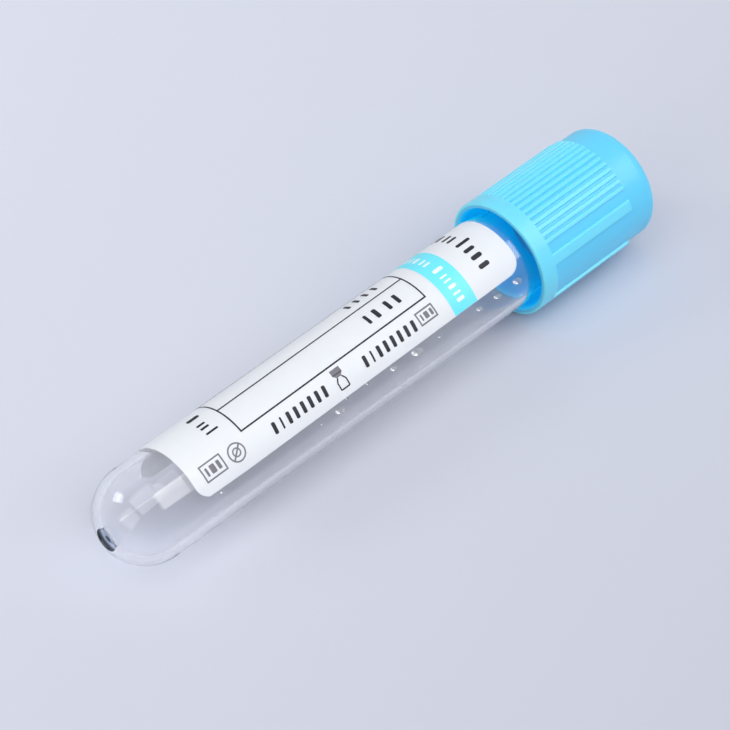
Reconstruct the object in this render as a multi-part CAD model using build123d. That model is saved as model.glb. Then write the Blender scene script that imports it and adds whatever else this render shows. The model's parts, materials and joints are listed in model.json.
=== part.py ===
"""Evacuated blood collection tube with a pull-off safety cap, lying on its side.

Units are millimetres and degrees. Every piece is built in the tube's own frame: the axis is +X, the
pole of the round end is the origin, and the mouth is at TUBE_LENGTH. Angles round the axis are counted
from +Z towards -Y, the side that faces the front. At the end the whole object is tilted about Y and
lowered, so that it lies on z = 0 on its round end and on the lip of the cap, as it comes to rest.
"""
from build123d import *
from math import asin, atan2, cos, degrees, hypot, radians, sin, tan
import os

# ------------------------------------------------------------------ driving dimensions

# Tube: a clear moulding, straight outside, with a little draft on the bore.
TUBE_LENGTH = 100.0
TUBE_RADIUS = 8.0
MOUTH_WALL = 1.2
BORE_DRAFT = 0.12
TUBE_RIM_ROUND = 0.3

# Gate mark: a sunk disc on the pole with the broken-off sprue in its middle.
GATE_RADIUS = 1.9
GATE_DEPTH = 0.4
GATE_NUB_RADIUS = 0.55
GATE_NUB_HEIGHT = 0.25

# Label: a rounded rectangle, wound about half way round and stuck on a little askew.
LABEL_START = 13.05
LABEL_LENGTH = 67.75
LABEL_THICKNESS = 0.1
LABEL_FRONT_ANGLE = 61.0
LABEL_SPAN = 176.0
LABEL_SKEW = 0.65
LABEL_CORNER_RADIUS = 2.6

# Stopper: a plug in the mouth and a flange on the rim.
PLUG_DEPTH = 9.5
PLUG_CLEARANCE = 0.04
PLUG_LEAD_IN = 0.8
DISH_RADIUS = 4.6
DISH_DEPTH = 2.6
FLANGE_THICKNESS = 4.0
FLANGE_CLEARANCE = 0.08
FLANGE_ROUND = 0.4
WELL_RADIUS = 3.6
WELL_DEPTH = 2.2

# Cap: a skirt over the tube, a crown with the needle port, and a bead that holds the flange.
SKIRT_COVER = 17.0
SKIRT_CLEARANCE = 0.6
SKIRT_WALL = 1.11
LIP_FLARE = 0.55
LIP_FLARE_LENGTH = 5.0
LIP_ROUND = 0.25
COLLAR_LENGTH = 2.8
BEAD_CLEARANCE = 0.2
BEAD_WIDTH = 1.1
PORT_RADIUS = 5.5
PORT_DEPTH = 5.65
PORT_WALL = 1.2
TOP_WALL = 1.4
CROWN_HEIGHT = 6.05
CROWN_ROUND = 2.2
PORT_ROUND = 0.35

# Ribs on the cap: two groups of fine ribs, each with one wide rib past either end.
RIB_HEIGHT = 0.42
RIB_FLANK = 20.0
RIB_TOP_ROUND = 0.1
FINE_RIB_TOP = 0.42
FINE_RIB_PITCH = 6.87
FINE_RIBS_IN_GROUP = 14
WIDE_RIB_TOP = 1.55
WIDE_RIB_OFFSET = 18.7
RIB_GROUP_ANGLE = 2.9

# Drops of additive on the bore: distance back from the stopper, angle off the bottom line towards the
# front, and radius of the wetted spot.
DROP_CONTACT_ANGLE = 65.0
DROPS = (
    (5.1, 7.8, 0.80),
    (9.8, 9.3, 0.65),
    (13.8, 9.1, 0.50),
    (22.5, 8.7, 0.28),
    (27.3, 6.8, 0.95),
    (32.3, 6.6, 0.62),
    (37.4, 1.5, 0.28),
    (41.8, 1.4, 0.25),
    (44.5, 12.8, 0.75),
    (48.4, 14.4, 0.25),
    (68.5, 8.1, 0.30),
)

# ------------------------------------------------------------------ sizes that follow

HALF_TURN = 180
end_centre = TUBE_RADIUS
bore_mouth_radius = TUBE_RADIUS - MOUTH_WALL
plug_end = TUBE_LENGTH - PLUG_DEPTH
cap_start = TUBE_LENGTH - SKIRT_COVER
flange_top = TUBE_LENGTH + FLANGE_THICKNESS
cap_top = flange_top + PORT_DEPTH
skirt_bore = TUBE_RADIUS + SKIRT_CLEARANCE
recess_radius = skirt_bore + SKIRT_WALL
collar_radius = recess_radius + RIB_HEIGHT
lip_bore = skirt_bore + LIP_FLARE
bead_bore = TUBE_RADIUS + BEAD_CLEARANCE
flange_radius = skirt_bore - FLANGE_CLEARANCE
rib_end = cap_top - CROWN_HEIGHT


def bore_radius(x):
    """Radius of the tube's bore on its drafted stretch."""
    return bore_mouth_radius - (TUBE_LENGTH - x) * tan(radians(BORE_DRAFT))


def revolved(*edges):
    """Solid of revolution about X from a closed outline of (x, radius) edges."""
    return revolve(make_face(Wire(list(edges))), Axis.X)


def turned(*points):
    """Solid of revolution about X from a closed polygon of (x, radius) points."""
    return revolve(make_face(Polyline(*points, close=True)), Axis.X)


def round_ended(mouth_radius, draft):
    """Solid up to the mouth: a half ball about end_centre that runs on into a side with some draft."""
    lean = radians(draft)
    ball_radius = mouth_radius * cos(lean) - (TUBE_LENGTH - end_centre) * sin(lean)
    tangent_point = (end_centre - ball_radius * sin(lean), ball_radius * cos(lean))
    middle = (end_centre - ball_radius * cos(radians(45)), ball_radius * sin(radians(45)))
    pole, mouth = (end_centre - ball_radius, 0), (TUBE_LENGTH, mouth_radius)
    return revolved(
        ThreePointArc(pole, middle, tangent_point),
        Line(tangent_point, mouth),
        Line(mouth, (TUBE_LENGTH, 0)),
        Line((TUBE_LENGTH, 0), pole),
    )


def make_tube(bore):
    """Clear tube with its rounded rim and the gate mark on the pole."""
    body = round_ended(TUBE_RADIUS, 0) - bore
    rim_edges = body.edges().filter_by(GeomType.CIRCLE).group_by(Axis.X)[-1]
    body = fillet(rim_edges, TUBE_RIM_ROUND)
    gate_floor = end_centre - (TUBE_RADIUS**2 - GATE_RADIUS**2) ** 0.5 + GATE_DEPTH
    sunk_disc = turned((-1, 0), (gate_floor, 0), (gate_floor, GATE_RADIUS), (-1, GATE_RADIUS))
    nub_tip = gate_floor - GATE_NUB_HEIGHT
    nub = turned(
        (nub_tip, 0), (gate_floor + GATE_DEPTH / 2, 0), (gate_floor + GATE_DEPTH / 2, GATE_NUB_RADIUS),
        (gate_floor, GATE_NUB_RADIUS), (nub_tip, GATE_NUB_RADIUS / 2),
    )
    return body - sunk_disc + nub


def along(angle, reach=1.0, x=0.0):
    """Point at a reach from the axis, at an angle counted from +Z towards -Y."""
    return Vector(x, -reach * sin(radians(angle)), reach * cos(radians(angle)))


def behind(origin, normal):
    """Large block that fills everything behind a plane."""
    side = 4 * TUBE_LENGTH
    block = Box(side, side, side, align=(Align.CENTER, Align.CENTER, Align.MAX))
    return Plane(origin=origin, z_dir=normal) * block


def make_label():
    """Thin label on the tube's outside, its edges turned by the skew about its own middle."""
    first, last = LABEL_START, LABEL_START + LABEL_LENGTH
    middle = Vector((first + last) / 2, 0, 0)
    outside = TUBE_RADIUS + LABEL_THICKNESS
    sheet = turned(
        (end_centre, TUBE_RADIUS), (cap_start, TUBE_RADIUS), (cap_start, outside), (end_centre, outside)
    )
    lean = radians(LABEL_SKEW)
    end_normal = Vector(cos(lean), sin(lean), 0)
    ends = [(-1, Vector(first, 0, 0)), (1, Vector(last, 0, 0))]
    for end, place in ends:
        sheet = sheet & behind(place, end_normal * end)
    for side in (-1, 1):
        edge_angle = side * LABEL_SPAN / 2
        width_way = along(edge_angle + 90) * cos(lean) + Vector(sin(lean), 0, 0)
        length_way = Vector(cos(lean), 0, 0) - along(edge_angle + 90) * sin(lean)
        sheet = sheet & behind(middle, width_way * side)
        for end, place in ends:
            outward = along(edge_angle, TUBE_RADIUS)
            slide = (end_normal.dot(place - middle) - end_normal.dot(outward)) / end_normal.dot(length_way)
            corner = middle + length_way * slide + outward
            sheet = sheet - corner_cutter(corner, length_way * -end, width_way * -side)
    return Rot(LABEL_FRONT_ANGLE - LABEL_SPAN / 2, 0, 0) * sheet


def corner_cutter(corner, inward_length, inward_width):
    """Block that takes the square tip off a label corner and leaves it round."""
    radius = LABEL_CORNER_RADIUS
    tip = Rectangle(radius * 2, radius * 2) - Pos(radius, radius) * Circle(radius)
    place = Plane(origin=corner, x_dir=inward_length, z_dir=inward_length.cross(inward_width))
    return extrude(place * tip, TUBE_RADIUS / 2, both=True)


def make_stopper():
    """Rubber stopper: plug, flange, needle well on top and a dish underneath."""
    plug_radius = bore_radius(plug_end) - PLUG_CLEARANCE
    body = turned(
        (plug_end, 0), (plug_end, plug_radius - PLUG_LEAD_IN), (plug_end + PLUG_LEAD_IN, plug_radius),
        (TUBE_LENGTH, plug_radius), (TUBE_LENGTH, flange_radius),
        (flange_top, flange_radius), (flange_top, 0),
    )
    body = fillet(rings(body, flange_top, flange_radius), FLANGE_ROUND)
    dish = revolved(
        ThreePointArc((plug_end + DISH_DEPTH, 0), dish_point(45), (plug_end, DISH_RADIUS)),
        Line((plug_end, DISH_RADIUS), (plug_end, 0)),
        Line((plug_end, 0), (plug_end + DISH_DEPTH, 0)),
    )
    well_floor = flange_top - WELL_DEPTH
    well = turned((well_floor, 0), (well_floor, WELL_RADIUS), (flange_top, WELL_RADIUS), (flange_top, 0))
    return body - dish - fillet(rings(well, well_floor, WELL_RADIUS), FLANGE_ROUND)


def dish_point(angle):
    """Point of the dish's elliptic-looking arc, between its deepest point and its rim."""
    ball = (DISH_RADIUS**2 + DISH_DEPTH**2) / (2 * DISH_DEPTH)
    half_angle = asin(DISH_RADIUS / ball) * angle / 90
    centre = plug_end + DISH_DEPTH - ball
    return (centre + ball * cos(half_angle), ball * sin(half_angle))


def rings(body, x, radius):
    """Circular edges of a body about X, at a place along the axis and of a given radius."""
    return [
        edge
        for edge in body.edges().filter_by(GeomType.CIRCLE)
        if abs(edge.arc_center.X - x) < 1e-4 and abs(edge.radius - radius) < 1e-4
    ]


def make_rib(top_width):
    """One rib of the cap, straight up from the axis, rising out of the recessed wall."""
    root, tip = recess_radius - RIB_HEIGHT, collar_radius
    spread = (tip - root) * tan(radians(RIB_FLANK))
    half = top_width / 2
    top = tip + RIB_HEIGHT
    section = Polyline((-half - spread, root), (half + spread, root), (half, top), (-half, top), close=True)
    start = cap_start + COLLAR_LENGTH
    face = Plane(origin=(start, 0, 0), x_dir=(0, 1, 0), z_dir=(1, 0, 0)) * make_face(section)
    bar = extrude(face, rib_end - start)
    slope = RIB_HEIGHT / 2
    envelope = turned((start, 0), (start, tip), (rib_end - slope, tip), (rib_end, root), (rib_end, 0))
    rib = bar & envelope
    top_edges = rib.edges().filter_by(Axis.X).group_by(Axis.Z)[-1]
    return fillet(top_edges, RIB_TOP_ROUND)


def make_cap():
    """Moulded cap: skirt, bead, crown with the needle port, and the ribs round it."""
    collar_end = cap_start + COLLAR_LENGTH
    hollow_floor = cap_top - TOP_WALL
    bead_start = TUBE_LENGTH - BEAD_WIDTH
    bead_rise = skirt_bore - bead_bore
    shell = turned(
        (cap_start, lip_bore),
        (cap_start, collar_radius),
        (collar_end, collar_radius),
        (collar_end, recess_radius),
        (cap_top, recess_radius),
        (cap_top, PORT_RADIUS),
        (flange_top, PORT_RADIUS),
        (flange_top, PORT_RADIUS + PORT_WALL),
        (hollow_floor, PORT_RADIUS + PORT_WALL),
        (hollow_floor, skirt_bore),
        (TUBE_LENGTH, skirt_bore),
        (TUBE_LENGTH, bead_bore),
        (bead_start, bead_bore),
        (bead_start - bead_rise, skirt_bore),
        (cap_start + LIP_FLARE_LENGTH, skirt_bore),
    )
    shell = fillet(rings(shell, hollow_floor, skirt_bore), TOP_WALL / 2)
    shell = fillet(rings(shell, cap_top, recess_radius), CROWN_ROUND)
    shell = fillet(rings(shell, cap_top, PORT_RADIUS), PORT_ROUND)
    shell = fillet(rings(shell, cap_start, collar_radius), LIP_ROUND)
    shell = fillet(rings(shell, cap_start, lip_bore), LIP_ROUND)
    fine_rib, wide_rib = make_rib(FINE_RIB_TOP), make_rib(WIDE_RIB_TOP)
    group_half = FINE_RIB_PITCH * (FINE_RIBS_IN_GROUP - 1) / 2
    ribs = []
    for group_angle in (RIB_GROUP_ANGLE, RIB_GROUP_ANGLE + HALF_TURN):
        for number in range(FINE_RIBS_IN_GROUP):
            ribs.append(Rot(group_angle - group_half + number * FINE_RIB_PITCH, 0, 0) * fine_rib)
        for side in (-1, 1):
            ribs.append(Rot(group_angle + side * (group_half + WIDE_RIB_OFFSET), 0, 0) * wide_rib)
    return shell + ribs


def make_drops(bore):
    """Drops of liquid that sit on the bore, each the part of a ball that stands inside it."""
    drops = []
    for back, off_bottom, spot_radius in DROPS:
        x = plug_end - back
        ball_radius = spot_radius / sin(radians(DROP_CONTACT_ANGLE))
        sunk = ball_radius * cos(radians(DROP_CONTACT_ANGLE))
        centre = along(HALF_TURN - off_bottom, bore_radius(x) + sunk, x)
        drops.append(Pos(centre) * Sphere(ball_radius) & bore)
    return Compound([solid for drop in drops for solid in drop.solids()])


def rest_pose(pieces):
    """Where the object lies: round end and cap lip on z = 0, its box centred on the origin."""
    reach = cap_start + LIP_ROUND - end_centre
    drop = collar_radius - LIP_ROUND
    tilt = atan2(drop, reach) - asin((TUBE_RADIUS - LIP_ROUND) / hypot(reach, drop))
    lie = Rot(0, -degrees(tilt), 0)
    lift = TUBE_RADIUS - end_centre * sin(tilt)
    laid = Compound([lie * piece for piece in pieces])
    box = laid.bounding_box()
    return Pos(-(box.min.X + box.max.X) / 2, 0, lift) * lie


bore = round_ended(bore_mouth_radius, BORE_DRAFT)
pieces = {
    "tube": make_tube(bore),
    "label": make_label(),
    "stopper": make_stopper(),
    "cap": make_cap(),
    "citrate_drops": make_drops(bore),
}
pose = rest_pose(pieces.values())

os.makedirs("parts", exist_ok=True)
for name, piece in pieces.items():
    export_step(pose * piece, f"parts/{name}.step")
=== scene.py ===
"""Looks of the blood collection tube: clear plastic tube, printed label, stopper, pull-off cap and drops."""

import json
import logging
import math
from dataclasses import dataclass, field, replace
from enum import Enum

import bmesh
import bpy
from mathutils import Matrix, Vector


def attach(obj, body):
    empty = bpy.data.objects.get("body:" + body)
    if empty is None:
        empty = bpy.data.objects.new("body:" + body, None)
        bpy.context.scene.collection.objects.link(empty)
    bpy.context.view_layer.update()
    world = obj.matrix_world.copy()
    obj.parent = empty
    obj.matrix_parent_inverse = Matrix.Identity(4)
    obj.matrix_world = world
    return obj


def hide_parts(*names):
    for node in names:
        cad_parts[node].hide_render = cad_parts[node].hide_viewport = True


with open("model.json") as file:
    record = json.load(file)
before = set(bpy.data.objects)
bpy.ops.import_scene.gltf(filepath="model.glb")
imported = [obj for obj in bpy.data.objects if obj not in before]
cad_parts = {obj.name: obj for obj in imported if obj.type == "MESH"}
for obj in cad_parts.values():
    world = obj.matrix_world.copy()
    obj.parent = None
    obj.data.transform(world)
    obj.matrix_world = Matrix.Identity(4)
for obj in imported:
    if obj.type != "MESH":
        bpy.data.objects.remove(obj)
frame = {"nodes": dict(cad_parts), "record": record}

logging.basicConfig(level=logging.INFO, format="%(message)s")
log = logging.getLogger("blood_tube")

MM = 0.001
SMOOTH_ANGLE = 32.0  # degrees; sharper edges stay sharp
MERGE_DISTANCE = 1e-7  # metres
NOISE_MIDDLE = (0.3, 0.7)  # a drift holds its first shade below this and its second above
DRIFT_SIZE = 12  # how much larger a colour's drift is than the finish's grain
COARSE, FINE = 2.0, 4.0  # detail of a noise
MIX_A, MIX_B, MIX_RESULT = 6, 7, 2  # sockets of a Mix node that holds colours

Colour = tuple[float, float, float]
Way = tuple[float, float, float]
Span = tuple[float, float]
Spans = tuple[Span, ...]
Socket = bpy.types.NodeSocket


# ------------------------------------------------------------------ where the object lies


@dataclass(frozen=True)
class TubeAxis:
    """The tube's own frame: X runs from the pole of the round end to the mouth, Z is its upper side."""

    pole: Vector
    along: Vector
    mount_distance: float = 45.5 * MM

    @classmethod
    def from_record(cls, record: dict) -> "TubeAxis":
        """Read the axis off the mount that holds the tube by its straight side.

        Args:
            record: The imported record.

        Returns:
            The axis, with its start on the pole of the round end.
        """
        shank = next(mount for mount in record["mounts"] if mount["name"] == "tube_shank")
        along = -Vector(shank["axis"]).normalized()
        return cls(Vector(shank["pos_m"]) - along * cls.mount_distance, along)

    def placement(self) -> Matrix:
        """Carry a shape from the tube's own frame to where the object lies.

        Returns:
            The matrix that does so.
        """
        side = Vector((0, 1, 0))
        upward = self.along.cross(side).normalized()
        turn = Matrix((self.along, side, upward)).transposed().to_4x4()
        return Matrix.Translation(self.pole) @ turn

    def point(self, x: float, reach: float, angle: float) -> Vector:
        """Find a point by its place along the axis, its reach from it and its angle round it.

        Args:
            x: Distance from the pole, in metres.
            reach: Distance from the axis, in metres.
            angle: Angle from +Z towards -Y, in degrees.

        Returns:
            The point where the object lies.
        """
        turn = math.radians(angle)
        return self.placement() @ Vector((x, -reach * math.sin(turn), reach * math.cos(turn)))


# ------------------------------------------------------------------ work at the bench


class Bench:
    """Short names for the steps by which every new piece is modelled."""

    @staticmethod
    def clear() -> None:
        """Leave nothing selected and no piece in edit mode."""
        if bpy.context.object and bpy.context.object.mode != "OBJECT":
            bpy.ops.object.mode_set(mode="OBJECT")
        bpy.ops.object.select_all(action="DESELECT")

    @staticmethod
    def pick(piece: bpy.types.Object) -> None:
        """Select one piece alone and make it the active one.

        Args:
            piece: The piece to work on.
        """
        Bench.clear()
        piece.select_set(True)
        bpy.context.view_layer.objects.active = piece

    @staticmethod
    def place(piece: bpy.types.Object, matrix: Matrix) -> None:
        """Carry a piece to its place and write that place into its mesh.

        Args:
            piece: The piece to move.
            matrix: The move.
        """
        Bench.pick(piece)
        piece.matrix_world = matrix @ piece.matrix_world
        bpy.ops.object.transform_apply(location=True, rotation=True, scale=True)

    @staticmethod
    def apply_modifiers(piece: bpy.types.Object) -> None:
        """Apply every modifier of a piece, in order.

        Args:
            piece: The piece to finish.
        """
        Bench.pick(piece)
        for modifier in list(piece.modifiers):
            bpy.ops.object.modifier_apply(modifier=modifier.name)

    @staticmethod
    def tidy(piece: bpy.types.Object) -> None:
        """Merge doubled points, turn the faces outwards and shade the gentle edges smooth.

        Args:
            piece: The piece to tidy.
        """
        Bench.pick(piece)
        bpy.ops.object.mode_set(mode="EDIT")
        bpy.ops.mesh.select_all(action="SELECT")
        bpy.ops.mesh.remove_doubles(threshold=MERGE_DISTANCE)
        bpy.ops.mesh.normals_make_consistent(inside=False)
        bpy.ops.object.mode_set(mode="OBJECT")
        bpy.ops.object.shade_smooth_by_angle(angle=math.radians(SMOOTH_ANGLE))

    @staticmethod
    def turn_profile(name: str, outline: list[Span], steps: int) -> bpy.types.Object:
        """Draw an outline point by point and spin it round the X axis.

        Args:
            name: The new piece's name.
            outline: Points of (x, radius) in metres; the loop is closed on itself or on the axis.
            steps: Number of steps in the full turn.

        Returns:
            The turned piece.
        """
        Bench.clear()
        bpy.ops.mesh.primitive_plane_add(size=MM)
        piece = bpy.context.object
        piece.name = piece.data.name = name
        bpy.ops.object.mode_set(mode="EDIT")
        bpy.ops.mesh.select_all(action="SELECT")
        bpy.ops.mesh.merge(type="CENTER")
        bpy.ops.transform.translate(value=(outline[0][0], 0, outline[0][1]))
        for (x0, r0), (x1, r1) in zip(outline, outline[1:]):
            bpy.ops.mesh.extrude_region_move(TRANSFORM_OT_translate={"value": (x1 - x0, 0, r1 - r0)})
        bpy.ops.mesh.select_all(action="SELECT")
        bpy.ops.mesh.spin(steps=steps, angle=2 * math.pi, center=(0, 0, 0), axis=(1, 0, 0))
        Bench.sort_parts(piece)
        bpy.ops.object.mode_set(mode="OBJECT")
        return piece

    @staticmethod
    def sort_parts(piece: bpy.types.Object) -> None:
        """Put edges and faces in the order of their points, because a spin lists them anew on each run.

        Args:
            piece: The piece, in edit mode.
        """
        mesh = bmesh.from_edit_mesh(piece.data)
        mesh.verts.index_update()
        count = len(mesh.verts)

        def rank(part: bmesh.types.BMEdge | bmesh.types.BMFace) -> int:
            """Number made of the part's lowest and highest point."""
            points = [corner.index for corner in part.verts]
            return min(points) * count + max(points)

        mesh.edges.sort(key=rank)
        mesh.faces.sort(key=rank)
        bmesh.update_edit_mesh(piece.data)


# ------------------------------------------------------------------ finishes


class Recipe:
    """A material's nodes, added and joined by name."""

    def __init__(self, name: str) -> None:
        """Start an empty material with its output node.

        Args:
            name: The material's name.
        """
        self.material = bpy.data.materials.new(name)
        self.material.use_nodes = True
        self.tree = self.material.node_tree
        self.tree.nodes.clear()
        self.output = self.add("ShaderNodeOutputMaterial")

    def add(self, kind: str, **settings) -> bpy.types.Node:
        """Add a node.

        Args:
            kind: Blender's name of the node.
            **settings: Properties of the node, or values of its inputs by name with _ for a space.

        Returns:
            The new node.
        """
        node = self.tree.nodes.new(kind)
        for key, value in settings.items():
            if hasattr(node, key):
                setattr(node, key, value)
            else:
                node.inputs[key.replace("_", " ")].default_value = value
        return node

    def join(self, source: Socket, target: Socket) -> None:
        """Join an output to an input."""
        self.tree.links.new(source, target)

    def grain(self, scale: float, detail: float) -> Socket:
        """Read noise in the object's own coordinates.

        Args:
            scale: Size of the noise, in cells a metre.
            detail: Number of finer layers.

        Returns:
            The noise's value.
        """
        where = self.add("ShaderNodeTexCoord")
        noise = self.add("ShaderNodeTexNoise", Scale=scale, Detail=detail)
        self.join(where.outputs["Object"], noise.inputs["Vector"])
        return noise.outputs["Fac"]

    def place_on(self, axis: TubeAxis) -> bpy.types.Node:
        """Tell where the surface is in the tube's own frame.

        Args:
            axis: The tube's frame.

        Returns:
            A node with an output for each direction, X along the axis.
        """
        where = self.add("ShaderNodeTexCoord")
        mapping = self.add("ShaderNodeMapping", vector_type="TEXTURE")
        mapping.inputs["Location"].default_value = axis.point(0, 0, 0)
        mapping.inputs["Rotation"].default_value = axis.placement().to_euler()
        parts = self.add("ShaderNodeSeparateXYZ")
        self.join(where.outputs["Object"], mapping.inputs["Vector"])
        self.join(mapping.outputs["Vector"], parts.inputs["Vector"])
        return parts

    def distance_from(self, axis: TubeAxis) -> Socket:
        """Measure how far the surface is from the tube's axis.

        Args:
            axis: The tube's frame.

        Returns:
            The distance, in metres.
        """
        parts = self.place_on(axis)
        across = self.add("ShaderNodeCombineXYZ")
        length = self.add("ShaderNodeVectorMath", operation="LENGTH")
        self.join(parts.outputs["Y"], across.inputs["Y"])
        self.join(parts.outputs["Z"], across.inputs["Z"])
        self.join(across.outputs["Vector"], length.inputs[0])
        return length.outputs["Value"]

    def shades(self, factor: Socket, span: Span, stops: list[tuple[float, Colour]]) -> Socket:
        """Run through several colours as a value grows.

        Args:
            factor: The value.
            span: Its lowest and highest value.
            stops: Value and colour of each stop, in order.

        Returns:
            The colour.
        """
        low, high = span
        scale = self.add("ShaderNodeValToRGB")
        elements = scale.color_ramp.elements
        for _ in stops[2:]:
            elements.new(0.5)
        for element, (value, shade) in zip(elements, stops):
            element.position, element.color = (value - low) / (high - low), (*shade, 1)
        self.join(self.ramp(factor, span), scale.inputs["Fac"])
        return scale.outputs["Color"]

    def blend(self, factor: Socket, first: Colour, second: Colour) -> Socket:
        """Run from one shade to another over the middle of a noise.

        Args:
            factor: The noise.
            first: Shade at its low values.
            second: Shade at its high values.

        Returns:
            The colour.
        """
        scale = self.add("ShaderNodeValToRGB")
        low, high = scale.color_ramp.elements
        low.position, high.position = NOISE_MIDDLE
        low.color, high.color = (*first, 1), (*second, 1)
        self.join(factor, scale.inputs["Fac"])
        return scale.outputs["Color"]

    def ramp(self, value: Socket, start: Span, end: Span = (0.0, 1.0)) -> Socket:
        """Carry a value from one range over to another, and hold it at the ends.

        Args:
            value: The value.
            start: The range that it comes in.
            end: The range that it leaves in.

        Returns:
            The value in its new range.
        """
        span = self.add("ShaderNodeMapRange", From_Min=start[0], From_Max=start[1])
        span.inputs["To Min"].default_value, span.inputs["To Max"].default_value = end
        self.join(value, span.inputs["Value"])
        return span.outputs["Result"]

    def sum_up(self, operation: str, first: Socket | float, second: Socket | float) -> Socket:
        """Work out one number from two.

        Args:
            operation: Blender's name of the sum.
            first: The first number, or the output that gives it.
            second: The second number, or the output that gives it.

        Returns:
            The result.
        """
        node = self.add("ShaderNodeMath", operation=operation)
        for number, entry in zip((first, second), node.inputs):
            if isinstance(number, Socket):
                self.join(number, entry)
            else:
                entry.default_value = number
        return node.outputs["Value"]

    def lean(self, output: str, way: Way) -> Socket:
        """Measure how far a place or a normal reaches in one direction.

        Args:
            output: "Object" for the place, "Normal" for the normal.
            way: The direction, of any length.

        Returns:
            The share of it along the direction.
        """
        where = self.add("ShaderNodeTexCoord")
        along = self.add("ShaderNodeVectorMath", operation="DOT_PRODUCT")
        along.inputs[1].default_value = Vector(way).normalized()
        self.join(where.outputs[output], along.inputs[0])
        return along.outputs["Value"]

    def bump(self, height: Socket, depth: float) -> Socket:
        """Raise the surface in shading only.

        Args:
            height: The relief, from 0 to 1.
            depth: Its depth, in metres.

        Returns:
            The normal.
        """
        node = self.add("ShaderNodeBump", Strength=1.0, Distance=depth)
        self.join(height, node.inputs["Height"])
        return node.outputs["Normal"]


@dataclass(frozen=True)
class SolidFinish:
    """A finish that light doesn't pass: moulded plastic, rubber, label film or ink.

    The grain's scale is in cells a metre and the relief's depth in metres; the glow is light that spreads
    under the surface, as far as its reach in millimetres for each primary colour.
    """

    name: str
    shade: Colour
    other_shade: Colour
    rough: Span
    grain_scale: float
    relief: float
    specular: float = 0.5
    glow: float = 0.0
    glow_reach: Way = (0.4, 0.8, 1.0)

    def deepen(self, recipe: Recipe, shader: bpy.types.Node) -> None:
        """Add what a special finish has beyond these nodes; a plain one adds nothing."""

    def drift(self, recipe: Recipe, first: Colour, second: Colour) -> Socket:
        """Let one shade drift slowly into another over the surface."""
        return recipe.blend(recipe.grain(self.grain_scale / DRIFT_SIZE, COARSE), first, second)

    def colour(self, recipe: Recipe) -> Socket:
        """Colour that drifts a little over the surface."""
        return self.drift(recipe, self.shade, self.other_shade)

    def make(self) -> bpy.types.Material:
        """Build the material.

        Returns:
            The material, with its colour, gloss and relief read from noise.
        """
        recipe = Recipe(self.name)
        shader = recipe.add("ShaderNodeBsdfPrincipled")
        shader.inputs["Specular IOR Level"].default_value = self.specular
        shader.inputs["Subsurface Weight"].default_value = self.glow
        shader.inputs["Subsurface Radius"].default_value = self.glow_reach
        shader.inputs["Subsurface Scale"].default_value = MM
        fine = recipe.grain(self.grain_scale, FINE)
        recipe.join(self.colour(recipe), shader.inputs["Base Color"])
        recipe.join(recipe.ramp(fine, (0.0, 1.0), self.rough), shader.inputs["Roughness"])
        recipe.join(recipe.bump(fine, self.relief), shader.inputs["Normal"])
        self.deepen(recipe, shader)
        recipe.join(shader.outputs["BSDF"], recipe.output.inputs["Surface"])
        return recipe.material


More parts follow.
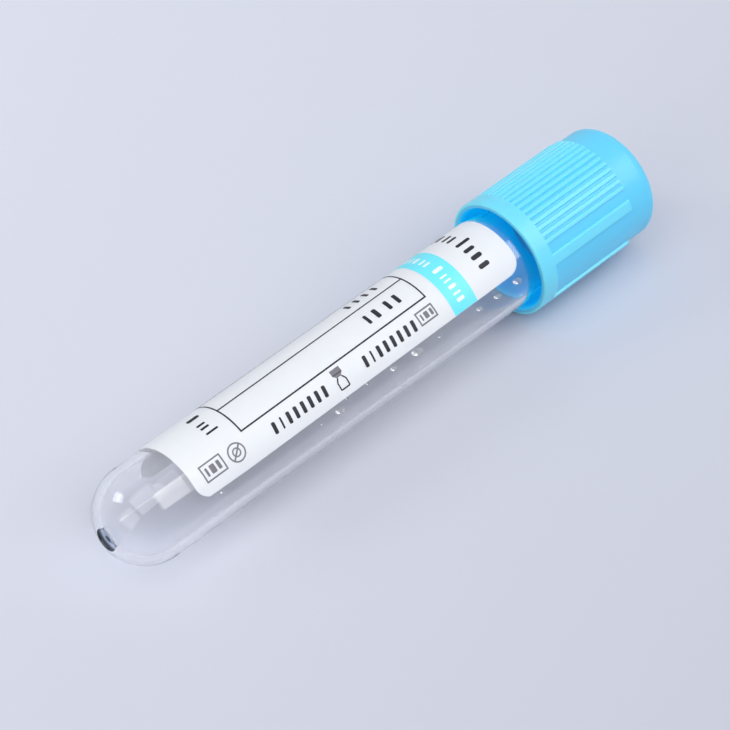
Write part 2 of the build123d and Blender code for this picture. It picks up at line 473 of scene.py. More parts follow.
@dataclass(frozen=True)
class CapFinish(SolidFinish):
    """The cap's plastic, with painted light: deeper inside the skirt, lighter along the ribs and on the
    collar.

    Its colour follows the distance from the axis: a painted deeper blue on the inner wall for light passed
    through the skirt, the plastic's own shade on the outer wall, painted light on the flanks of the ribs that
    lifts the shade in the grooves, and a painted highlight on their ridges and the collar, each with a short
    fade. Past the skirt's ceiling nothing counts as the inner wall.
    """

    axis: TubeAxis | None = None
    # painted deeper blue on the inner wall, standing in for light passed through the thin skirt
    inside: Colour = (0.0, 0.37, 1.0)
    # painted light on the rib flanks, lifting the shade in the grooves
    painted_flank_light: Colour = (0.23, 0.81, 1.0)
    # painted highlight on the ridges and the collar
    painted_ridge_highlight: Colour = (0.18, 0.745, 1.0)
    drift_shades: tuple[Colour, Colour] = ((0.97, 0.985, 1.0), (1.0, 1.0, 1.0))
    inner_glow: float = 6.0 * MM
    # painted glow of the inner wall, standing in for light that comes through the thin skirt
    painted_glow_shade: Colour = (0.0, 0.39, 0.95)
    painted_glow_level: float = 0.38
    inner_reach: float = 9.3 * MM
    inner_fade: float = 0.3 * MM
    light_fade: float = 0.1 * MM
    wall_reach: float = 9.72 * MM
    wall_fade: float = 0.06 * MM
    ridge_reach: float = 10.1 * MM
    ridge_fade: float = 0.08 * MM
    reach_span: Span = (8.8 * MM, 10.2 * MM)
    ceiling: float = 103.9 * MM

    def reach(self, recipe: Recipe) -> Socket:
        """Measure how far the surface is from the axis, past the skirt's ceiling no less than its outer wall.

        Args:
            recipe: The material's recipe.

        Returns:
            The distance, in metres.
        """
        along = recipe.place_on(self.axis).outputs["X"]
        past = recipe.ramp(along, (self.ceiling, self.ceiling + self.light_fade), (0.0, self.wall_reach))
        return recipe.sum_up("MAXIMUM", recipe.distance_from(self.axis), past)

    def colour(self, recipe: Recipe) -> Socket:
        """Colour with painted light by the distance from the axis, drifting a little over the surface.

        Args:
            recipe: The material's recipe.

        Returns:
            The colour.
        """
        # painted deeper blue inside, the plastic's own shade on the wall, painted light on flanks, painted
        # highlight on ridges
        stops = [
            (self.inner_reach - self.inner_fade, self.inside),
            (self.inner_reach, self.shade),
            (self.wall_reach, self.shade),
            (self.wall_reach + self.wall_fade, self.painted_flank_light),
            (self.ridge_reach - self.ridge_fade, self.painted_flank_light),
            (self.ridge_reach, self.painted_ridge_highlight),
        ]
        shade_and_painted_light = recipe.shades(self.reach(recipe), self.reach_span, stops)
        mix = recipe.add("ShaderNodeMix", data_type="RGBA", blend_type="MULTIPLY", Factor=1.0)
        recipe.join(shade_and_painted_light, mix.inputs[MIX_A])
        recipe.join(self.drift(recipe, *self.drift_shades), mix.inputs[MIX_B])
        return mix.outputs[MIX_RESULT]

    def deepen(self, recipe: Recipe, shader: bpy.types.Node) -> None:
        """Spread light deeper under the skirt's inner wall, and give that wall a painted glow of passed
        light.

        Args:
            recipe: The material's recipe.
            shader: The material's shader.
        """
        reach = self.reach(recipe)
        # the inner wall gets a painted glow, standing in for light passed through the skirt
        shader.inputs["Emission Color"].default_value = (*self.painted_glow_shade, 1)
        for socket, inner, outer in (
            ("Subsurface Weight", 1.0, self.glow),
            ("Subsurface Scale", self.inner_glow, MM),
            ("Emission Strength", self.painted_glow_level, 0.0),
        ):
            edge = (self.inner_reach - self.light_fade, self.inner_reach)
            recipe.join(recipe.ramp(reach, edge, (inner, outer)), shader.inputs[socket])


@dataclass(frozen=True)
class FloorFinish(SolidFinish):
    """Matt card with a painted fall-off of light: its tone darkens gently from the far left to the near
    right.
    """

    # way along which the painted fall-off of light darkens the floor
    painted_falloff_toward: Way = (0.1, -1.0, 0.0)
    reach: float = 0.12

    def colour(self, recipe: Recipe) -> Socket:
        """Colour with a painted fall-off of light, running from one shade to the other across the floor."""
        stops = [(-self.reach, self.shade), (self.reach, self.other_shade)]
        return recipe.shades(recipe.lean("Object", self.painted_falloff_toward), (-self.reach, self.reach), stops)


@dataclass(frozen=True)
class ClearFinish:
    """A finish that light passes: polished plastic or liquid.

    The shadow is the tone that its shadow keeps; grain and relief are as in SolidFinish.
    """

    name: str
    tint: Colour
    shadow: Colour
    ior: float
    rough: float
    grain_scale: float
    relief: float

    def cloud(self, recipe: Recipe, shader: bpy.types.Node) -> None:
        """Take clearness away, and paint light, where a special finish does so; a plain one is clear all
        over.
        """

    def make(self) -> bpy.types.Material:
        """Build the material.

        Returns:
            The material, whose shadow is thin, as that of a clear wall is.
        """
        recipe = Recipe(self.name)
        glass = recipe.add("ShaderNodeBsdfPrincipled", IOR=self.ior)
        glass.inputs["Base Color"].default_value = (*self.tint, 1)
        glass.inputs["Transmission Weight"].default_value = 1.0
        glass.inputs["Roughness"].default_value = self.rough
        wave = recipe.grain(self.grain_scale, COARSE)
        recipe.join(recipe.bump(wave, self.relief), glass.inputs["Normal"])
        self.cloud(recipe, glass)
        thin = recipe.add("ShaderNodeBsdfTransparent")
        thin.inputs["Color"].default_value = (*self.shadow, 1)
        path = recipe.add("ShaderNodeLightPath")
        mix = recipe.add("ShaderNodeMixShader")
        recipe.join(path.outputs["Is Shadow Ray"], mix.inputs["Fac"])
        recipe.join(glass.outputs["BSDF"], mix.inputs[1])
        recipe.join(thin.outputs["BSDF"], mix.inputs[2])
        recipe.join(mix.outputs["Shader"], recipe.output.inputs["Surface"])
        return recipe.material


@dataclass(frozen=True)
class DropFinish(ClearFinish):
    """Liquid in small drops with painted light: a painted white ring at each foot and a painted glint on one
    side.
    """

    axis: TubeAxis | None = None
    # painted glint: the side of each drop facing this way is made mirror-like and glowing
    painted_glint_toward: Way = (-1.0, -0.1, 0.0)
    painted_glint_lean: Span = (0.50, 0.62)
    painted_glint_glow: float = 0.45
    # painted light: a white ring at the foot of each drop
    painted_foot_reach: Span = (6.58 * MM, 6.72 * MM)
    painted_foot_light: float = 0.5

    def cloud(self, recipe: Recipe, shader: bpy.types.Node) -> None:
        """Paint a white ring at the foot of each drop, and a painted glint on one side: mirrored, glowing,
        less clear.

        Args:
            recipe: The material's recipe.
            shader: The material's shader.
        """
        # painted white ring at the foot of each drop
        foot = recipe.ramp(recipe.distance_from(self.axis), self.painted_foot_reach, (0.0, self.painted_foot_light))
        # painted glint on the side of each drop that faces one fixed way
        side = recipe.ramp(recipe.lean("Normal", self.painted_glint_toward), self.painted_glint_lean)
        clear = recipe.sum_up("SUBTRACT", 1.0, recipe.sum_up("MAXIMUM", foot, side))
        recipe.join(clear, shader.inputs["Transmission Weight"])
        # the painted glint mirrors and glows
        recipe.join(side, shader.inputs["Metallic"])
        recipe.join(recipe.sum_up("MULTIPLY", side, self.painted_glint_glow), shader.inputs["Emission Strength"])
        shader.inputs["Emission Color"].default_value = (1, 1, 1, 1)


TUBE_PLASTIC = ClearFinish(
    "clear_tube_plastic", tint=(0.99, 0.993, 1.0), shadow=(0.97, 0.973, 0.985), ior=1.575, rough=0.02,
    grain_scale=130.0, relief=0.01 * MM,
)
GATE_SCAR = ClearFinish(
    "gate_scar", tint=(0.50, 0.67, 0.98), shadow=(0.80, 0.84, 0.92), ior=1.575, rough=0.32,
    grain_scale=900.0, relief=0.03 * MM,
)
LIQUID = DropFinish(
    "additive_liquid", tint=(1.0, 1.0, 1.0), shadow=(0.97, 0.97, 0.98), ior=1.34, rough=0.0,
    grain_scale=300.0, relief=0.004 * MM,
)
LABEL_FILM = SolidFinish(
    "label_film", shade=(0.855, 0.88, 0.945), other_shade=(0.872, 0.897, 0.96), rough=(0.38, 0.46),
    grain_scale=1400.0, relief=0.003 * MM, specular=0.4, glow=0.5, glow_reach=(0.3, 0.3, 0.3),
)
CAP_PLASTIC = CapFinish(
    "cap_plastic", shade=(0.13, 0.66, 1.0), other_shade=(0.13, 0.66, 1.0), rough=(0.30, 0.38),
    grain_scale=900.0, relief=0.006 * MM, glow=0.45, glow_reach=(0.4, 0.9, 0.9),
)
STOPPER_RUBBER = SolidFinish(
    "stopper_rubber", shade=(0.04, 0.40, 0.85), other_shade=(0.05, 0.43, 0.88), rough=(0.55, 0.7),
    grain_scale=1100.0, relief=0.01 * MM, specular=0.35,
)


class Ink(Enum):
    """The inks of the label, each with its finish."""

    DARK = SolidFinish(
        "ink_dark", shade=(0.018, 0.018, 0.024), other_shade=(0.032, 0.032, 0.04), rough=(0.4, 0.5),
        grain_scale=2500.0, relief=0.002 * MM, specular=0.2,
    )
    GREY = SolidFinish(
        "ink_grey", shade=(0.16, 0.15, 0.18), other_shade=(0.22, 0.21, 0.24), rough=(0.4, 0.5),
        grain_scale=2500.0, relief=0.002 * MM, specular=0.3,
    )
    CYAN = SolidFinish(
        "ink_cyan", shade=(0.16, 0.82, 0.96), other_shade=(0.19, 0.85, 0.98), rough=(0.36, 0.44),
        grain_scale=1400.0, relief=0.002 * MM, specular=0.4,
    )
    WHITE = SolidFinish(
        "ink_white", shade=(0.84, 0.93, 0.96), other_shade=(0.88, 0.95, 0.97), rough=(0.38, 0.46),
        grain_scale=1400.0, relief=0.002 * MM, specular=0.4,
    )


# ------------------------------------------------------------------ the clear tube


@dataclass
class ClearTube:
    """Moulded tube with a round end, a gate mark on its pole and a rounded rim.

    Sizes are in millimetres, and the nub's flat and shoulder and the dome's place are shares of them.
    """

    axis: TubeAxis
    radius: float = 8.0
    length: float = 100.0
    bore_mouth: float = 6.82
    bore_draft: float = 0.12
    rim_round: float = 0.3
    gate_radius: float = 1.9
    gate_depth: float = 0.4
    gate_dome: float = 0.03
    gate_edge: float = 0.06
    gate_lip: float = 0.08
    gate_lip_drop: float = 0.05
    gate_flare: float = 0.01
    nub_radius: float = 0.55
    nub_height: float = 0.25
    nub_flat: float = 0.5
    nub_shoulder: Span = (0.7, 0.85)
    dome_place: float = 0.6
    scar_depth: float = 0.75
    scar_margin: float = 0.05
    label_seat: Span = (12.0, 81.6)
    seat_ramps: Span = (2.0, 1.4)
    label_bed: float = 0.012
    steps: int = 240
    end_steps: int = 28
    rim_steps: int = 6
    bore_steps: int = 32

    @staticmethod
    def arc(centre: Span, radius: float, start: float, end: float, steps: int) -> list[Span]:
        """Place points along an arc.

        Args:
            centre: Its centre, in (x, radius).
            radius: Its radius.
            start: Angle of its first point from the axis, in radians.
            end: Angle of its last point.
            steps: Number of steps between them.

        Returns:
            The points, in order.
        """
        turns = [start + (end - start) * step / steps for step in range(steps + 1)]
        return [(centre[0] + radius * math.cos(turn), centre[1] + radius * math.sin(turn)) for turn in turns]

    def gate(self) -> list[Span]:
        """Outline of the sunk gate mark, from the top of its nub to its lip.

        Returns:
            The points, in order.
        """
        floor = self.radius - math.sqrt(self.radius**2 - self.gate_radius**2) + self.gate_depth
        lip = self.radius - math.sqrt(self.radius**2 - (self.gate_radius + self.gate_lip) ** 2)
        shoulder_height, shoulder_radius = self.nub_shoulder
        return [
            (floor - self.nub_height, 0.0),
            (floor - self.nub_height, self.nub_radius * self.nub_flat),
            (floor - self.nub_height * shoulder_height, self.nub_radius * shoulder_radius),
            (floor, self.nub_radius),
            (floor + self.gate_dome, self.gate_radius * self.dome_place),
            (floor, self.gate_radius - self.gate_edge),
            (floor - self.gate_edge, self.gate_radius),
            (lip + self.gate_lip_drop, self.gate_radius + self.gate_flare),
        ]

    def outline(self) -> list[Span]:
        """Closed outline of the wall in (x, radius), in millimetres, from the gate mark to the bore's pole.

        Returns:
            The points, in order.
        """
        big, rim, mouth = self.radius, self.rim_round, self.bore_mouth
        quarter = math.pi / 2
        first, last = self.label_seat
        ramp_up, ramp_down = self.seat_ramps
        seat = big + self.label_bed
        lean = math.radians(self.bore_draft)
        ball = mouth * math.cos(lean) - (self.length - big) * math.sin(lean)
        lip_turn = math.pi - math.asin((self.gate_radius + self.gate_lip) / big)
        return [
            *self.gate(),
            *self.arc((big, 0.0), big, lip_turn, quarter, self.end_steps),
            (first - ramp_up, big),
            (first, seat),
            (last, seat),
            (last + ramp_down, big),
            *self.arc((self.length - rim, big - rim), rim, quarter, 0.0, self.rim_steps),
            *self.arc((self.length - rim, mouth + rim), rim, 0.0, -quarter, self.rim_steps),
            *self.arc((big, 0.0), ball, quarter - lean, math.pi, self.bore_steps),
        ]

    def build(self) -> bpy.types.Object:
        """Turn the wall, lay it in place and dress it.

        Returns:
            The finished tube.
        """
        outline = [(x * MM, max(r, 0.0) * MM) for x, r in self.outline()]
        outline[0], outline[-1] = (outline[0][0], 0.0), (outline[-1][0], 0.0)
        tube = Bench.turn_profile("tube_wall", outline, self.steps)
        Bench.tidy(tube)
        tube.data.materials.append(TUBE_PLASTIC.make())
        tube.data.materials.append(GATE_SCAR.make())
        scar_radius = self.gate_radius + self.scar_margin
        for face in tube.data.polygons:
            x, *across = face.center
            if x < self.scar_depth * MM and math.hypot(*across) < scar_radius * MM:
                face.material_index = 1
        Bench.place(tube, self.axis.placement())
        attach(tube, "tube_body")
        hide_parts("tube")
        return tube


# ------------------------------------------------------------------ the print on the label


@dataclass
class PrintSheet:
    """Fields of one ink, drawn flat and then wrapped on the label.

    On the flat sheet X runs along the label from its left edge and Z up from its front edge, in millimetres.
    """

    ink: Ink
    axis: TubeAxis
    label_middle: float = 46.8
    label_length: float = 68.0
    label_middle_angle: float = -27.0
    label_half_width: float = 12.44
    label_skew: float = 0.65
    seat_radius: float = 8.088
    thickness: float = 0.034
    fold_step: float = 0.42
    corner_steps: int = 3
    corner_share: float = 0.45
    ring_steps: int = 40
    piece: bpy.types.Object = field(init=False)

    def __post_init__(self) -> None:
        """Start an empty sheet in edit mode."""
        Bench.clear()
        bpy.ops.mesh.primitive_plane_add(size=MM)
        self.piece = bpy.context.object
        self.piece.name = self.piece.data.name = "print_" + self.ink.name.lower()
        bpy.ops.object.mode_set(mode="EDIT")
        bpy.ops.mesh.select_all(action="SELECT")
        bpy.ops.mesh.delete(type="VERT")

    def spot(self, u: float, w: float) -> Vector:
        """Place of a label point on the flat sheet, about the label's middle."""
        return Vector(((u - self.label_length / 2) * MM, 0, (w - self.label_half_width) * MM))

    def bar(self, u: Span, w: Span, corner: float = 0.0, lean: float = 0.0) -> None:
        """Add a filled field.

        Args:
            u: From and to along the label.
            w: From and to across it.
            corner: Radius of its corners.
            lean: Turn about its middle, in degrees.
        """
        centre = self.spot((u[0] + u[1]) / 2, (w[0] + w[1]) / 2)
        bpy.ops.mesh.primitive_plane_add(size=1, location=centre, rotation=(math.pi / 2, 0, 0))
        size = ((u[1] - u[0]) * MM, 1, (w[1] - w[0]) * MM)
        bpy.ops.transform.resize(value=size, center_override=centre)
        if corner:
            corner = min(corner, self.corner_share * (u[1] - u[0]), self.corner_share * (w[1] - w[0]))
            bpy.ops.mesh.bevel(offset=corner * MM, segments=self.corner_steps, affect="VERTICES")
        if lean:
            bpy.ops.transform.rotate(value=math.radians(lean), orient_axis="Y", center_override=centre)

    def bars(self, spans: Spans, w: Span, corner: float) -> None:
        """Add a row of filled fields along the label."""
        for span in spans:
            self.bar(span, w, corner)

    def stacks(self, u: Span, spans: Spans, corner: float) -> None:
        """Add a row of filled fields across the label."""
        for span in spans:
            self.bar(u, span, corner)

    def box(self, u: Span, w: Span, line: float, corner: float = 0.0) -> None:
        """Add an outlined box.

        Args:
            u: From and to along the label.
            w: From and to across it.
            line: Width of its line.
            corner: Radius of its corners.
        """
        self.bar(u, w, corner)
        bpy.ops.mesh.inset(thickness=line * MM)
        bpy.ops.mesh.delete(type="FACE")

    def ring(self, centre: Span, radius: float, line: float) -> None:
        """Add a ring.

        Args:
            centre: Its centre on the label.
            radius: Its outer radius.
            line: Width of its line.
        """
        bpy.ops.mesh.primitive_circle_add(
            vertices=self.ring_steps, radius=radius * MM, fill_type="NGON",
            location=self.spot(*centre), rotation=(math.pi / 2, 0, 0),
        )
        bpy.ops.mesh.inset(thickness=line * MM)
        bpy.ops.mesh.delete(type="FACE")

    def path(self, points: Spans, line: float) -> None:
        """Add a line through points of the label.

        Args:
            points: The points, in order.
            line: Width of the line.
        """
        for (u, w), (next_u, next_w) in zip(points, points[1:]):
            middle, height = (u + next_u) / 2, (w + next_w) / 2
            half = math.hypot(next_u - u, next_w - w) / 2
            rise = math.degrees(math.atan2(next_w - w, next_u - u))
            self.bar((middle - half, middle + half), (height - line / 2, height + line / 2), lean=rise)

    def funnel(self, u: Span, w: Span, waist: float) -> None:
        """Add a filled field whose lower side is narrowed to a waist.

        Args:
            u: From and to along the label on its broad side.
            w: From and to across it.
            waist: Width of the waist.
        """
        self.bar(u, w)
        centre = self.spot((u[0] + u[1]) / 2, (w[0] + w[1]) / 2)
        mesh = bmesh.from_edit_mesh(self.piece.data)
        for corner in mesh.verts:
            if corner.select and corner.co.z < centre.z:
                corner.co.x = centre.x + (corner.co.x - centre.x) * waist / (u[1] - u[0])
        bmesh.update_edit_mesh(self.piece.data)

    def finish(self) -> bpy.types.Object:
        """Fold the sheet at narrow steps, thicken it, wrap it on the label and dress it.

        Returns:
            The finished print.
        """
        bpy.ops.mesh.select_all(action="SELECT")
        skew = math.radians(self.label_skew)
        bpy.ops.transform.rotate(value=skew, orient_axis="Y", center_override=(0, 0, 0))
        folds = int(self.label_half_width / self.fold_step) + 1
        for number in range(-folds, folds + 1):
            bpy.ops.mesh.select_all(action="SELECT")
            bpy.ops.mesh.bisect(plane_co=(0, 0, number * self.fold_step * MM), plane_no=(0, 0, 1))
        bpy.ops.object.mode_set(mode="OBJECT")
        sheet = self.piece
        wall = sheet.modifiers.new("wall", "SOLIDIFY")
        wall.thickness, wall.offset = self.thickness * MM, 1.0
        Bench.apply_modifiers(sheet)
        heights = [corner[2] for corner in sheet.bound_box]
        wrap = sheet.modifiers.new("wrap", "SIMPLE_DEFORM")
        wrap.deform_method, wrap.deform_axis = "BEND", "X"
        wrap.angle = (max(heights) - min(heights)) / (self.seat_radius * MM)
        Bench.apply_modifiers(sheet)
        Bench.place(sheet, Matrix.Translation((0, -self.seat_radius * MM, 0)))
        Bench.place(sheet, Matrix.Rotation(math.radians(self.label_middle_angle - 90), 4, "X"))
        Bench.place(sheet, Matrix.Translation((self.label_middle * MM, 0, 0)))
        Bench.tidy(sheet)
        Bench.place(sheet, self.axis.placement())
        sheet.data.materials.append(self.ink.value.make())
        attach(sheet, "tube_body")
        return sheet


@dataclass
class LabelPrint:
    """Everything printed on the label, as plain fields and lines.

    Spans along the label and across it are in millimetres on the flat sheet, as in PrintSheet.
    """

    axis: TubeAxis
    line: float = 0.26
    form: Span = (11.8, 50.7)
    form_lines: tuple[float, ...] = (5.4, 10.7, 16.0, 21.3)
    code_rows: Span = (16.6, 35.6)
    code_height: Span = (1.82, 3.72)
    code_pitch: float = 1.48
    code_halves: tuple[float, ...] = (0.33, 0.16, 0.33, 0.33, 0.33, 0.33, 0.33, 0.33)
    code_lean: float = -6.0
    word_corner: float = 0.2
    first_word: Spans = ((40.4, 41.0), (42.2, 43.0), (44.7, 45.4), (46.6, 47.3))
    first_height: Span = (7.0, 8.9)
    second_word: Spans = ((40.9, 41.5), (42.8, 43.4), (44.7, 45.3), (46.6, 47.2))
    second_height: Span = (12.3, 14.1)
    glass: Spans = ((30.0, 3.28), (29.55, 2.6), (29.55, 1.35), (31.25, 1.35), (31.25, 2.6), (30.8, 3.28))
    thin_line: float = 0.22
    glass_top: Span = (29.4, 31.3)
    glass_levels: tuple[float, ...] = (3.3, 3.85, 4.75)
    glass_waist: float = 0.8
    sign_line: float = 0.24
    band: Span = (53.3, 58.1)
    band_height: Span = (0.06, 24.82)
    white_seat: float = 8.116
    white_thickness: float = 0.016

    def build(self) -> list[bpy.types.Object]:
        """Print every ink.

        Returns:
            The prints.
        """
        return [self.dark(), self.grey(), self.cyan(), self.white()]

    def form_and_codes(self, sheet: PrintSheet) -> None:
        """Print the form's lines and the two code rows.

        Args:
            sheet: The sheet to print on.
        """
        left, right = self.form
        half = self.line / 2
        for height in self.form_lines:
            sheet.bar((left - half, right + half), (height - half, height + half))
        for end in (left, right):
            for low, high in zip(self.form_lines, self.form_lines[1:]):
                sheet.bar((end - half, end + half), (low + half, high - half))
        for first in self.code_rows:
            for number, wide in enumerate(self.code_halves):
                middle = first + self.code_pitch * number
                sheet.bar((middle - wide, middle + wide), self.code_height, self.word_corner, self.code_lean)

    def dark(self) -> bpy.types.Object:
        """Print the form, the code rows, the field words, the volume mark and the title.

        Returns:
            The finished print.
        """
        sheet = PrintSheet(Ink.DARK, self.axis)
        self.form_and_codes(sheet)
        sheet.bars(self.first_word, self.first_height, self.word_corner)
        sheet.bars(self.second_word, self.second_height, self.word_corner)
        sheet.path(self.glass, self.thin_line)
        volume, title = (7.3, 9.6), (61.4, 63.4)
        sheet.bar(volume, (12.2, 13.0), corner=0.3)
        sheet.stacks((7.3, 8.9), ((9.2, 9.6), (10.1, 10.5)), corner=0.15)
        sheet.bar(volume, (8.0, 8.35), corner=0.1)
        sheet.stacks((61.4, 63.5), ((3.6, 4.4), (5.4, 6.2), (7.1, 7.8)), corner=0.35)
        sheet.bar((61.4, 64.3), (8.9, 9.5), corner=0.25)
        sheet.stacks(title, ((11.0, 11.5), (12.2, 12.7), (13.8, 14.5), (15.4, 15.75)), corner=0.3)
        sheet.stacks(title, ((16.6, 17.3), (18.3, 19.0), (20.0, 20.7)), corner=0.3)
        return sheet.finish()

    def grey(self) -> bpy.types.Object:
        """Print the small signs beside the code rows.

        Returns:
            The finished print.
        """
        sheet = PrintSheet(Ink.GREY, self.axis)
        sheet.box((2.4, 6.6), (2.0, 4.8), self.sign_line)
        sheet.bars(((3.1, 3.5), (3.95, 4.9), (5.3, 5.9)), (2.7, 4.1), corner=0.15)
        ring = (9.1, 3.25)
        sheet.ring(ring, radius=1.55, line=self.sign_line)
        sheet.bar((7.7, 10.5), (3.12, 3.38), lean=42)
        sheet.ring(ring, radius=0.75, line=self.thin_line)
        waist, shoulder, top = self.glass_levels
        sheet.bar(self.glass_top, (shoulder, top))
        sheet.funnel(self.glass_top, (waist, shoulder), self.glass_waist)
        sheet.box((47.1, 50.7), (1.9, 4.2), self.line)
        sheet.bars(((47.8, 48.1), (48.5, 49.3), (49.7, 50.2)), (2.5, 3.6), corner=0.12)
        return sheet.finish()

    def cyan(self) -> bpy.types.Object:
        """Print the colour band that names the additive by its colour.

        Returns:
            The finished print.
        """
        sheet = PrintSheet(Ink.CYAN, self.axis)
        sheet.bar(self.band, self.band_height)
        return sheet.finish()

    def white(self) -> bpy.types.Object:
        """Print the light fields on the colour band.

        Returns:
            The finished print.
        """
        sheet = PrintSheet(Ink.WHITE, self.axis, seat_radius=self.white_seat, thickness=self.white_thickness)
        short, tall = (54.8, 56.3), (54.8, 56.8)
        sheet.stacks(short, ((1.6, 2.2), (2.8, 3.15), (3.9, 4.5), (5.2, 5.5), (6.1, 6.4)), corner=0.2)
        sheet.bar(tall, (7.4, 8.1), corner=0.3)
        sheet.stacks(short, ((9.7, 10.1), (10.7, 11.1), (12.0, 12.6)), corner=0.2)
        sheet.stacks(short, ((13.3, 13.6), (14.3, 14.9), (15.5, 16.1)), corner=0.2)
        sheet.bar(tall, (16.8, 17.5), corner=0.3)
        return sheet.finish()


# ------------------------------------------------------------------ pieces whose shape stays as it is


@dataclass
class CarriedPiece:
    """A piece that keeps its solid and gets its finish here."""

    node: str
    finish: SolidFinish | ClearFinish

    def dress(self) -> bpy.types.Object:
        """Give the piece its finish.

        Returns:
            The piece.
        """
        piece = frame["nodes"][self.node]
        material = self.finish.make()
        if not piece.material_slots:
            piece.data.materials.append(material)
        for slot in piece.material_slots:
            slot.material = material
        return piece


# ------------------------------------------------------------------ studio


@dataclass(frozen=True)
class Softbox:
    """A soft rectangular light that faces the object, one side of it in line with the tube.

    It hangs at a distance in metres, on a way from the object. Its size along the tube and across it is in
    metres, and its level is the brightness of its face, where 1 is white.
    """

    name: str
    toward: Way
    distance: float
    size: Span
    level: float
    shade: Colour = (1.0, 1.0, 1.0)

    def hang(self, axis: TubeAxis) -> None:
        """Hang the light.

        Args:
            axis: The tube's frame.
        """
        way = Vector(self.toward).normalized()
        bpy.ops.object.light_add(type="AREA", location=way * self.distance)
        lamp = bpy.context.object
        lamp.name = self.name
        beside = (axis.along - way * way.dot(axis.along)).normalized()
        facing = Matrix((beside, way.cross(beside), way)).transposed()
        lamp.rotation_mode = "QUATERNION"
        lamp.rotation_quaternion = facing.to_quaternion()
        lamp.data.shape = "RECTANGLE"
        lamp.data.size, lamp.data.size_y = self.size
        lamp.data.energy = self.level * math.pi * self.size[0] * self.size[1]
        lamp.data.color = self.shade


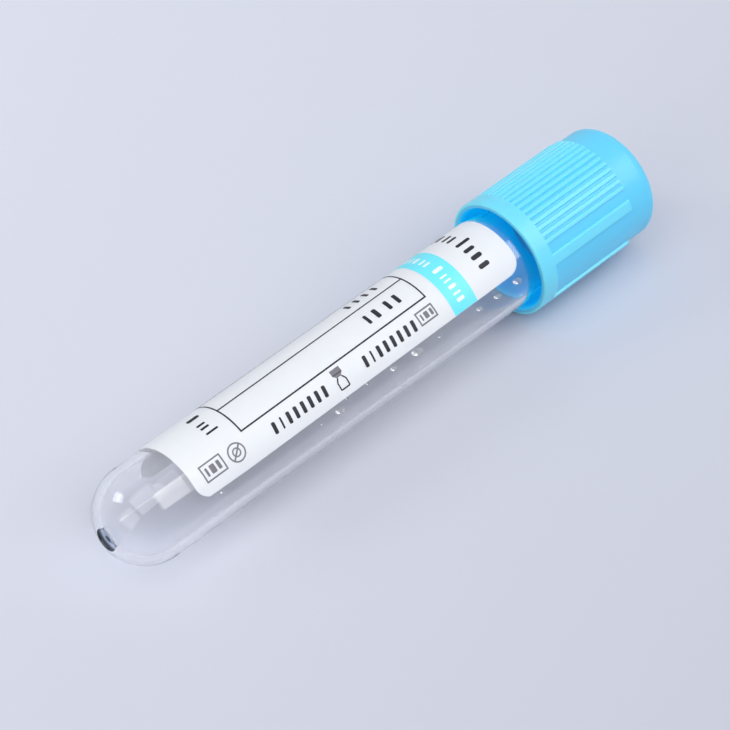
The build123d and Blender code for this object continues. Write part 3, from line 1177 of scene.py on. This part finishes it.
@dataclass
class Studio:
    """Pale floor with a painted fall-off of light, soft lights and the camera.

    The camera's distance, lens and aim are in millimetres, its clipping and the floor's sizes in metres.
    """

    axis: TubeAxis
    azimuth: float = 45.70
    elevation: float = 44.87
    distance: float = 550.0
    lens: float = 175.8
    sensor: float = 36.0
    clip: Span = (0.01, 50.0)
    aim_along: float = 45.39
    aim_drop: float = -0.88
    end_centre: float = 8.0
    floor_radius: float = 4.0
    floor_drop: float = 0.02 * MM
    floor_steps: int = 96
    floor_shade: Colour = (0.712, 0.730, 0.829)
    # near right of the floor, darker by a painted fall-off of light
    painted_falloff_shade: Colour = (0.530, 0.546, 0.625)
    sky_top: float = 0.36
    sky_horizon: float = 0.46
    sky_rise: Span = (0.0, 0.8)
    sky_shade: Colour = (0.95, 0.975, 1.0)
    softboxes: tuple[Softbox, ...] = (
        Softbox("right_softbox", toward=(0.455, -0.51, 0.73), distance=1.20, size=(0.72, 0.84), level=2.85),
        Softbox("left_softbox", toward=(-0.58, 0.59, 0.56), distance=0.60, size=(0.17, 0.17), level=4.5),
        Softbox("end_softbox", toward=(-0.88, -0.15, 0.42), distance=0.80, size=(0.50, 0.50), level=1.2),
        Softbox(
            "overhead_softbox", toward=(-0.16, -0.20, 0.95), distance=0.90, size=(1.00, 0.80), level=1.50,
            shade=(0.97, 0.985, 1.0),
        ),
    )

    def aim(self) -> Vector:
        """Point that the camera looks at."""
        ball = self.axis.point(self.end_centre * MM, 0, 0)
        return ball + Vector((self.aim_along, 0, self.aim_drop)) * MM

    def camera(self) -> bpy.types.Object:
        """Set up the camera.

        Returns:
            The camera, which is also the scene's.
        """
        turn, rise = math.radians(self.azimuth), math.radians(self.elevation)
        look = Vector((math.cos(turn) * math.cos(rise), math.sin(turn) * math.cos(rise), -math.sin(rise)))
        bpy.ops.object.camera_add(location=self.aim() - look * self.distance * MM)
        camera = bpy.context.object
        camera.name = "camera"
        camera.rotation_mode = "QUATERNION"
        camera.rotation_quaternion = look.to_track_quat("-Z", "Y")
        camera.data.lens = self.lens
        camera.data.sensor_width = self.sensor
        camera.data.clip_start, camera.data.clip_end = self.clip
        bpy.context.scene.camera = camera
        return camera

    def floor(self) -> bpy.types.Object:
        """Lay the floor.

        Returns:
            The floor, which isn't part of the object.
        """
        Bench.clear()
        bpy.ops.mesh.primitive_circle_add(
            vertices=self.floor_steps, radius=self.floor_radius, fill_type="NGON",
            location=(0, 0, -self.floor_drop),
        )
        floor = bpy.context.object
        floor.name = "floor"
        # the floor's colour carries a painted fall-off of light
        finish = FloorFinish(
            "floor_card", shade=self.floor_shade, other_shade=self.painted_falloff_shade, rough=(0.75, 0.85),
            grain_scale=60.0, relief=0.01 * MM, specular=0.15,
        )
        floor.data.materials.append(finish.make())
        return floor

    def surroundings(self) -> None:
        """Light everything softly from all round, and show the floor's tone where nothing stands."""
        world = bpy.data.worlds.new("surroundings")
        bpy.context.scene.world = world
        world.use_nodes = True
        tree = world.node_tree
        tree.nodes.clear()
        where = tree.nodes.new("ShaderNodeTexCoord")
        parts = tree.nodes.new("ShaderNodeSeparateXYZ")
        span = tree.nodes.new("ShaderNodeMapRange")
        span.inputs["From Min"].default_value, span.inputs["From Max"].default_value = self.sky_rise
        span.inputs["To Min"].default_value = self.sky_horizon
        span.inputs["To Max"].default_value = self.sky_top
        light = tree.nodes.new("ShaderNodeBackground")
        light.inputs["Color"].default_value = (*self.sky_shade, 1)
        seen = tree.nodes.new("ShaderNodeBackground")
        seen.inputs["Color"].default_value = (*self.floor_shade, 1)
        path = tree.nodes.new("ShaderNodeLightPath")
        direct = tree.nodes.new("ShaderNodeMath")
        plain = tree.nodes.new("ShaderNodeMath")
        direct.operation = plain.operation = "MAXIMUM"
        mix = tree.nodes.new("ShaderNodeMixShader")
        output = tree.nodes.new("ShaderNodeOutputWorld")
        for source, target in (
            (where.outputs["Generated"], parts.inputs["Vector"]),
            (parts.outputs["Z"], span.inputs["Value"]),
            (span.outputs["Result"], light.inputs["Strength"]),
            (path.outputs["Is Camera Ray"], direct.inputs[0]),
            (path.outputs["Is Glossy Ray"], direct.inputs[1]),
            (direct.outputs["Value"], plain.inputs[0]),
            (path.outputs["Is Transmission Ray"], plain.inputs[1]),
            (plain.outputs["Value"], mix.inputs["Fac"]),
            (light.outputs["Background"], mix.inputs[1]),
            (seen.outputs["Background"], mix.inputs[2]),
            (mix.outputs["Shader"], output.inputs["Surface"]),
        ):
            tree.links.new(source, target)

    def build(self) -> None:
        """Set up the camera, the floor and every light."""
        self.camera()
        self.floor()
        for softbox in self.softboxes:
            softbox.hang(self.axis)
        self.surroundings()


def main() -> None:
    """Build and dress every piece in order."""
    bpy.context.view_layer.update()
    bpy.context.scene.view_settings.view_transform = "Standard"
    axis = TubeAxis.from_record(frame["record"])
    Studio(axis).build()
    pieces = [ClearTube(axis).build(), *LabelPrint(axis).build()]
    for node, finish in (
        ("label", LABEL_FILM),
        ("cap", replace(CAP_PLASTIC, axis=axis)),
        ("stopper", STOPPER_RUBBER),
        ("citrate_drops", replace(LIQUID, axis=axis)),
    ):
        pieces.append(CarriedPiece(node, finish).dress())
    for piece in pieces:
        log.info("%s: %d faces", piece.name, len(piece.data.polygons))


if __name__ == "__main__":
    main()
